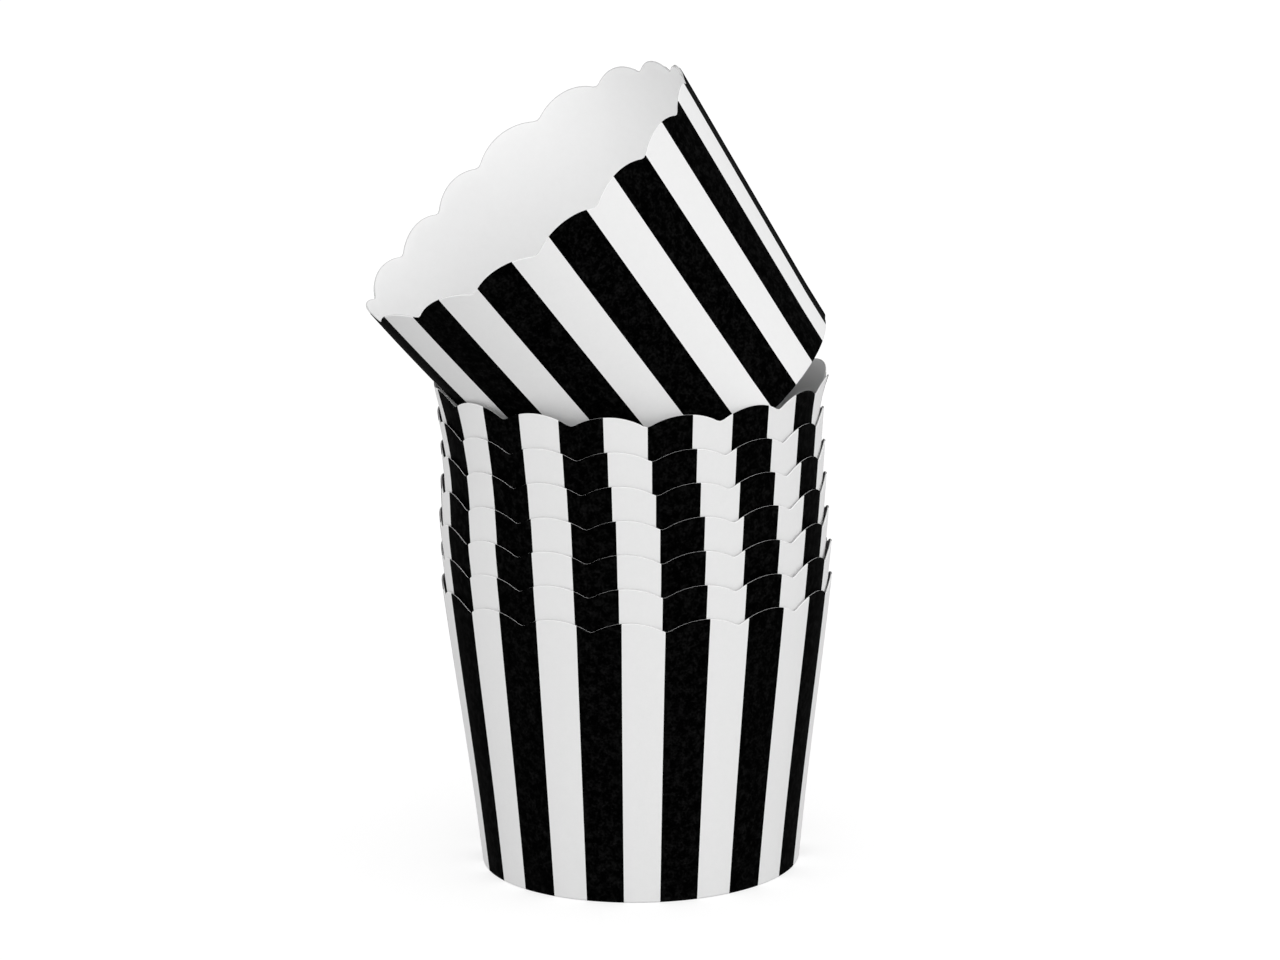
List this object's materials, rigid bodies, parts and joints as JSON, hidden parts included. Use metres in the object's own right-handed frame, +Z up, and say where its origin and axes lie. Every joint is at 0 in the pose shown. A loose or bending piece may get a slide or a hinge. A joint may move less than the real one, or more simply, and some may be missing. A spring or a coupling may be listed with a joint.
{
  "type": "stack of cupcake liners",
  "caption": "Stack of stiff paper baking cups with scalloped rims and vertical black and white stripes, nested upright, with one more cup leaning on top.",
  "frame": {"origin": "middle of the bottom cup's foot ring, on the table", "axes": "+Z up the stack, -Y towards the viewer, -X the way the top cup leans"},
  "size_m": [0.0715, 0.063, 0.1267],
  "materials": {
    "striped_paper": "matt white paper, printed outside with even black stripes that narrow towards the foot",
    "white_paper": "matt white unprinted paper"
  },
  "bodies": {
    "root": {"cup_1_wall": "striped_paper", "cup_1_base": "white_paper", "cup_2_wall": "striped_paper", "cup_2_base": "white_paper", "cup_3_wall": "striped_paper", "cup_3_base": "white_paper", "cup_4_wall": "striped_paper", "cup_4_base": "white_paper", "cup_5_wall": "striped_paper", "cup_5_base": "white_paper", "cup_6_wall": "striped_paper", "cup_6_base": "white_paper", "cup_7_wall": "striped_paper", "cup_7_base": "white_paper", "tilted_cup_wall": "striped_paper", "tilted_cup_base": "white_paper"}
  },
  "joints": []
}
